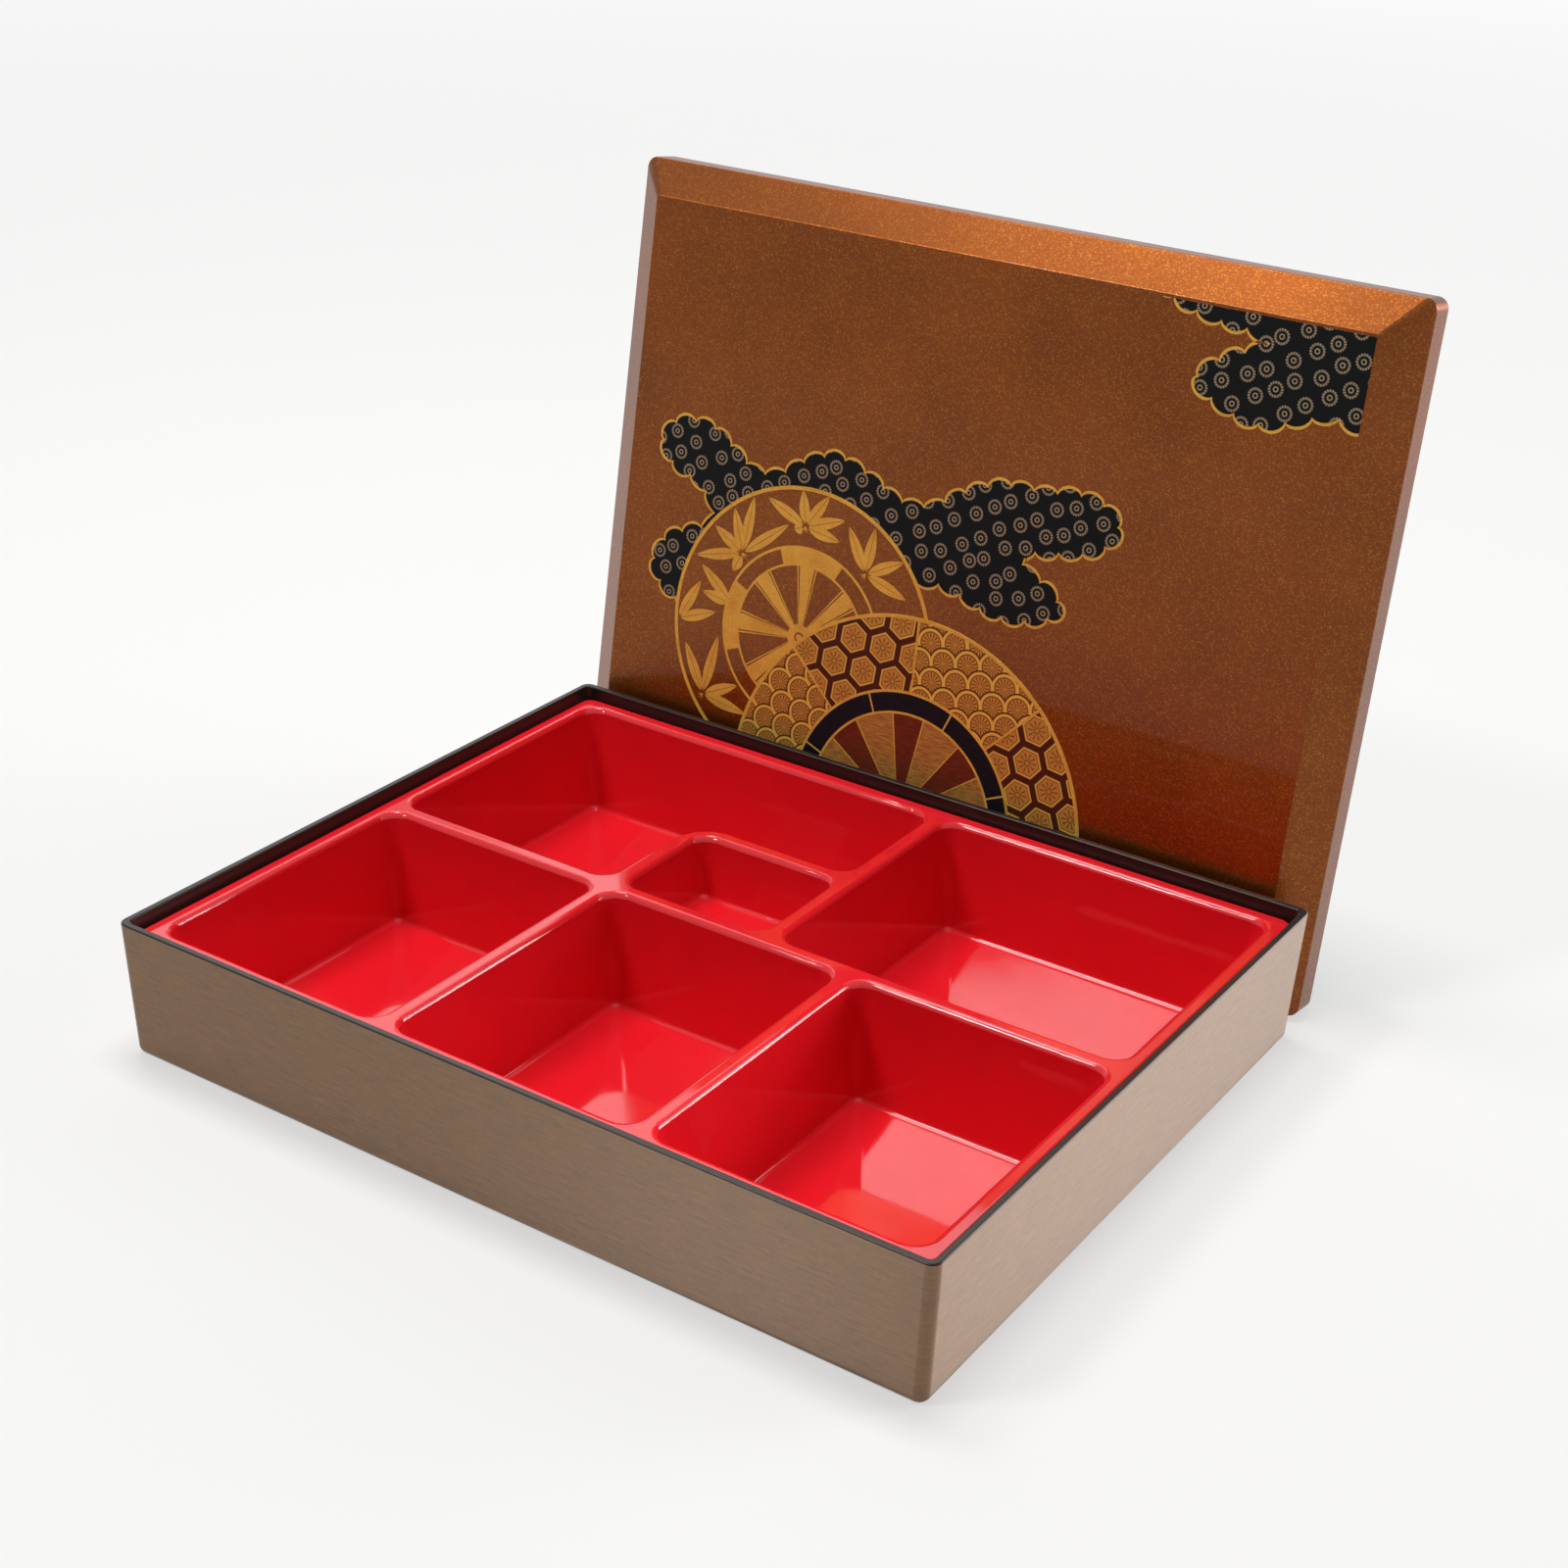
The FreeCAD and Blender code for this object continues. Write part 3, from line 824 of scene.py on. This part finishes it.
def draw_pattern_wheel(sizes, inks):
    """Larger cart wheel whose rim is pieced from hexagon and wave patterns."""
    gold = bpy.data.materials["screen_printed_gold"]
    centre, radius = PATTERN_WHEEL, PATTERN_WHEEL_RADIUS

    def cut_sectors(rows, steps=24):
        """Sectors as far as they lie on the panel."""
        outlines = [kept_on_panel(sector(centre, *row, steps), sizes) for row in rows]
        return [[outline] for outline in outlines if len(outline) > 2]

    patterns = {}
    for name, make, place, turn in (
            ("hexagons_upright", hexagon_material, (-8.6, -33.0), -3),
            ("hexagons_turned", hexagon_material, (52.0, -66.0), 22),
            ("waves_upright", wave_material, (10.0, -38.0), 10),
            ("waves_turned", wave_material, (-60.0, -64.0), 48)):
        patterns[name] = make("screen_printed_" + name, sizes, inks, place, turn)
    for name, pattern in patterns.items():
        turns = [PATCH_ANGLE + 45 * step for step in range(8) if PATCHES[step] == name]
        shapes = cut_sectors([(FELLOE_OUTER, radius - 0.6, turn, turn + 45) for turn in turns])
        print_plate("pattern_wheel_" + name, shapes, 6, pattern, sizes)

    copper = plain_ink_material("screen_printed_copper", "#A86C3A", inks.gold, 0.35)
    dark = plain_ink_material("screen_printed_red_brown", "#6A2B1B", "#843A22", 0.6)
    black = plain_ink_material("screen_printed_black", "#17131A", "#241E24", 0.5)
    turns = [SPOKE_ANGLE + 45 * step for step in range(8)]
    for name, start, end, ink in (("spokes", -SPOKE_HALF_ANGLE, SPOKE_HALF_ANGLE, copper),
                                  ("gaps", SPOKE_HALF_ANGLE, 45 - SPOKE_HALF_ANGLE, dark)):
        shapes = cut_sectors([(4.0, FELLOE_INNER + OVERLAP, turn + start, turn + end)
                              for turn in turns])
        print_plate("pattern_wheel_" + name, shapes, 6, ink, sizes)

    # a whole ring is slit below the panel's edge, where nothing of it is kept
    slit = (-90.0, 270.0)
    felloe = cut_sectors([(FELLOE_INNER, FELLOE_OUTER + OVERLAP, *slit)], 180)
    print_plate("pattern_wheel_felloe", felloe, 6.4, black, sizes)

    # gold lines: hub, rings, ties across the felloe, edges of the spokes, seams of the patches
    lines = [[circle(centre, 6.6, 48), circle(centre, 3.4, 32)], [circle(centre, 2.3, 24)]]
    lines += cut_sectors([(radius - 1.3, radius, *slit),
                          (FELLOE_OUTER - 0.4, FELLOE_OUTER + 0.6, *slit),
                          (FELLOE_INNER - 0.2, FELLOE_INNER + 0.7, *slit)], 180)
    for step, turn in enumerate(turns):
        seam = PATCH_ANGLE + 45 * step
        lines += cut_sectors([
            (inner, outer, middle - half, middle + half) for inner, outer, middle, half in (
                (FELLOE_INNER + 0.4, FELLOE_OUTER - 0.1, turn, 0.45),
                (6, FELLOE_INNER, turn - SPOKE_HALF_ANGLE, 0.45),
                (6, FELLOE_INNER, turn + SPOKE_HALF_ANGLE, 0.45),
                (FELLOE_OUTER + OVERLAP, radius - 0.8, seam, 0.4))], 2)
    print_plate("pattern_wheel_lines", lines, 7, gold, sizes, 0.001)


# Stage, in metres

# The paper glows more from the first distance to the second, and from there on it fades
GLOW_NEAR = 0.4
GLOW_FAR = 3.0

# Each softbox: name, place, the point that it faces, its width and height, its power in watts,
# and whether polished surfaces mirror it. The small one at front left is what the tray's floors
# show as a pale patch, by way of the lid's gloss. The one overhead isn't mirrored, or it would
# hide the tray's floors from above.
LAMPS = [
    ("softbox_front_left", (-0.93, -1.36, 1.99), (0.04, 0.107, 0.095), (0.5, 0.35), 18.5, True),
    ("softbox_top", (0.0, 0.1, 1.64), (0.0, 0.0, 0.05), (0.45, 0.45), 12.7, False),
    ("softbox_top_left", (-0.48, 0.12, 1.55), (0.0, 0.1, 0.1), (0.4, 0.4), 6.5, True),
    ("softbox_back_right", (2.4, 1.8, 1.3), (0.0, 0.0, 0.1), (1.8, 1.4), 24.0, True),
    ("softbox_back_right_low", (2.2, 2.75, 0.75), (0.0, 0.0, 0.05), (1.8, 1.35), 66.0, True),
    ("softbox_backdrop", (-1.7, 2.0, 2.1), (-1.5, 1.9, 0.0), (2.6, 2.2), 26.0, True),
]

# Where the camera stands, and the way it looks: degrees round from the front, and down
CAMERA_PLACE = (0.4052, -0.6182, 0.4413)
CAMERA_ROUND = 32.96
CAMERA_DOWN = 25.84


def seen_directly(tree):
    """One for rays from the camera and for mirrored and refracted ones, nought for others."""
    path = add_node(tree, "LightPath")
    both = add_node(tree, "Math", {0: path["Is Camera Ray"], 1: path["Is Glossy Ray"]},
                    operation="MAXIMUM")[0]
    return add_node(tree, "Math", {0: both, 1: path["Is Transmission Ray"]}, operation="MAXIMUM")[0]


def make_floor(settings):
    """Large sheet of white paper under the object. It glows a little where it is looked at,
    lights nothing by that, and fades far out to the tone of the surroundings."""
    half = settings.floor_size / 2
    mesh = bpy.data.meshes.new("paper_floor")
    corners = [(-half, -half, 0), (half, -half, 0), (half, half, 0), (-half, half, 0)]
    mesh.from_pydata(corners, [], [(0, 1, 2, 3)])
    floor = new_object("paper_floor", mesh)
    material, tree = new_material("matt_white_paper")
    paper = add_node(tree, "BsdfPrincipled", {
        "Base Color": linear(settings.floor), "Roughness": 0.9, "Specular IOR Level": 0.0})[0]
    place = add_node(tree, "TexCoord")["Object"]
    away = add_node(tree, "VectorMath", {0: place}, operation="LENGTH")["Value"]
    level = add_node(tree, "MapRange", {
        0: away, 1: GLOW_FAR, 2: half, 3: 1.0, 4: settings.surroundings})[0]
    share = add_node(tree, "MapRange", {
        0: away, 1: GLOW_NEAR, 2: GLOW_FAR, 3: settings.floor_glow, 4: 1.0})[0]
    share = add_node(tree, "Math", {0: share, 1: seen_directly(tree)}, operation="MULTIPLY")[0]
    glow = add_node(tree, "Emission", {"Strength": level})[0]
    both = add_node(tree, "MixShader", {0: share, 1: paper, 2: glow})[0]
    add_node(tree, "OutputMaterial", {"Surface": both})
    mesh.materials.append(material)


def make_lamp(name, place, target, size, power, mirrored):
    """Rectangular softbox that points at a place."""
    data = bpy.data.lights.new(name, "AREA")
    data.shape = "RECTANGLE"
    data.size, data.size_y = size
    data.energy = power
    lamp = new_object(name, data)
    lamp.location = place
    lamp.rotation_mode = "QUATERNION"
    lamp.rotation_quaternion = (Vector(target) - Vector(place)).to_track_quat("-Z", "Y")
    lamp.visible_camera = False
    lamp.visible_glossy = mirrored


def make_world(settings):
    """Even surroundings: pale where they are looked at, and dim as a light."""
    world = bpy.data.worlds.new("studio")
    bpy.context.scene.world = world
    world.use_nodes = True
    tree = world.node_tree
    tree.nodes.clear()
    strength = add_node(tree, "MapRange", {
        0: seen_directly(tree), 3: settings.room_light, 4: settings.surroundings})[0]
    back = add_node(tree, "Background", {"Color": (1, 1, 1, 1), "Strength": strength})[0]
    add_node(tree, "OutputWorld", {"Surface": back})


def make_camera(settings):
    """Camera at the height and side from which the box is seen."""
    data = bpy.data.cameras.new("camera")
    data.lens = settings.lens
    data.sensor_width = 36.0
    data.clip_end = 100.0
    azimuth, elevation = math.radians(CAMERA_ROUND), math.radians(CAMERA_DOWN)
    ahead = Vector((-math.sin(azimuth) * math.cos(elevation),
                    math.cos(azimuth) * math.cos(elevation), -math.sin(elevation)))
    right = ahead.cross(Vector((0, 0, 1))).normalized()
    top = right.cross(ahead)
    cosine, sine = math.cos(settings.roll), math.sin(settings.roll)
    matrix = Matrix((right * cosine + top * sine, top * cosine - right * sine, -ahead))
    matrix = matrix.transposed().to_4x4()
    matrix.translation = Vector(CAMERA_PLACE)
    camera = new_object("camera", data)
    camera.matrix_world = matrix
    bpy.context.scene.camera = camera


# Operators

class LUNCH_OT_finish_box(bpy.types.Operator):
    """Give the outer box its bronze coat and black inside"""
    bl_idname = "lunch.finish_box"
    bl_label = "Outer box"

    def execute(self, context):
        wear_material("outer_box", box_material(context.scene.lunch_box))
        return {"FINISHED"}


class LUNCH_OT_finish_tray(bpy.types.Operator):
    """Give the compartment tray its polished red"""
    bl_idname = "lunch.finish_tray"
    bl_label = "Compartment tray"

    def execute(self, context):
        wear_material("compartment_tray", tray_material(context.scene.lunch_tray))
        return {"FINISHED"}


class LUNCH_OT_finish_lid(bpy.types.Operator):
    """Give the lid its flake lacquer"""
    bl_idname = "lunch.finish_lid"
    bl_label = "Lid"

    def execute(self, context):
        wear_material("lid", lid_material(context.scene.lunch_lid))
        return {"FINISHED"}


class LUNCH_OT_print_clouds(bpy.types.Operator):
    """Print the cloud banks on the lid"""
    bl_idname = "lunch.print_clouds"
    bl_label = "Cloud banks"

    def execute(self, context):
        draw_clouds(context.scene.lunch_print, context.scene.lunch_ink)
        return {"FINISHED"}


class LUNCH_OT_print_leaf_wheel(bpy.types.Operator):
    """Print the wheel with leaf sprays on the lid"""
    bl_idname = "lunch.print_leaf_wheel"
    bl_label = "Leaf wheel"

    def execute(self, context):
        draw_leaf_wheel(context.scene.lunch_print)
        return {"FINISHED"}


class LUNCH_OT_print_pattern_wheel(bpy.types.Operator):
    """Print the wheel with patterned patches on the lid"""
    bl_idname = "lunch.print_pattern_wheel"
    bl_label = "Patterned wheel"

    def execute(self, context):
        draw_pattern_wheel(context.scene.lunch_print, context.scene.lunch_ink)
        return {"FINISHED"}


class LUNCH_OT_set_stage(bpy.types.Operator):
    """Lay the paper floor and set the lamps and the camera"""
    bl_idname = "lunch.set_stage"
    bl_label = "Stage"

    def execute(self, context):
        settings = context.scene.lunch_stage
        context.scene.view_settings.view_transform = "Standard"
        make_floor(settings)
        make_world(settings)
        for lamp in LAMPS:
            make_lamp(*lamp)
        make_camera(settings)
        return {"FINISHED"}


OPERATORS = [LUNCH_OT_finish_box, LUNCH_OT_finish_tray, LUNCH_OT_finish_lid,
             LUNCH_OT_print_clouds, LUNCH_OT_print_leaf_wheel, LUNCH_OT_print_pattern_wheel,
             LUNCH_OT_set_stage]


class LUNCH_PT_panel(bpy.types.Panel):
    """Pieces and settings of the lunch box"""
    bl_idname = "LUNCH_PT_panel"
    bl_label = "Lunch Box"
    bl_space_type = "VIEW_3D"
    bl_region_type = "UI"
    bl_category = "Lunch Box"

    def draw(self, context):
        for name, group in GROUPS.items():
            settings = getattr(context.scene, name)
            for key in group.__annotations__:
                self.layout.prop(settings, key)
        for operator in OPERATORS:
            self.layout.operator(operator.bl_idname)


def register():
    for name, group in GROUPS.items():
        bpy.utils.register_class(group)
        setattr(bpy.types.Scene, name, PointerProperty(type=group))
    for operator in OPERATORS:
        bpy.utils.register_class(operator)
    bpy.utils.register_class(LUNCH_PT_panel)


def unregister():
    bpy.utils.unregister_class(LUNCH_PT_panel)
    for operator in reversed(OPERATORS):
        bpy.utils.unregister_class(operator)
    for name, group in reversed(GROUPS.items()):
        delattr(bpy.types.Scene, name)
        bpy.utils.unregister_class(group)


def main():
    """Register and build every piece in order."""
    register()
    for operator in OPERATORS:
        group, name = operator.bl_idname.split(".")
        getattr(getattr(bpy.ops, group), name)()


if __name__ == "__main__":
    main()
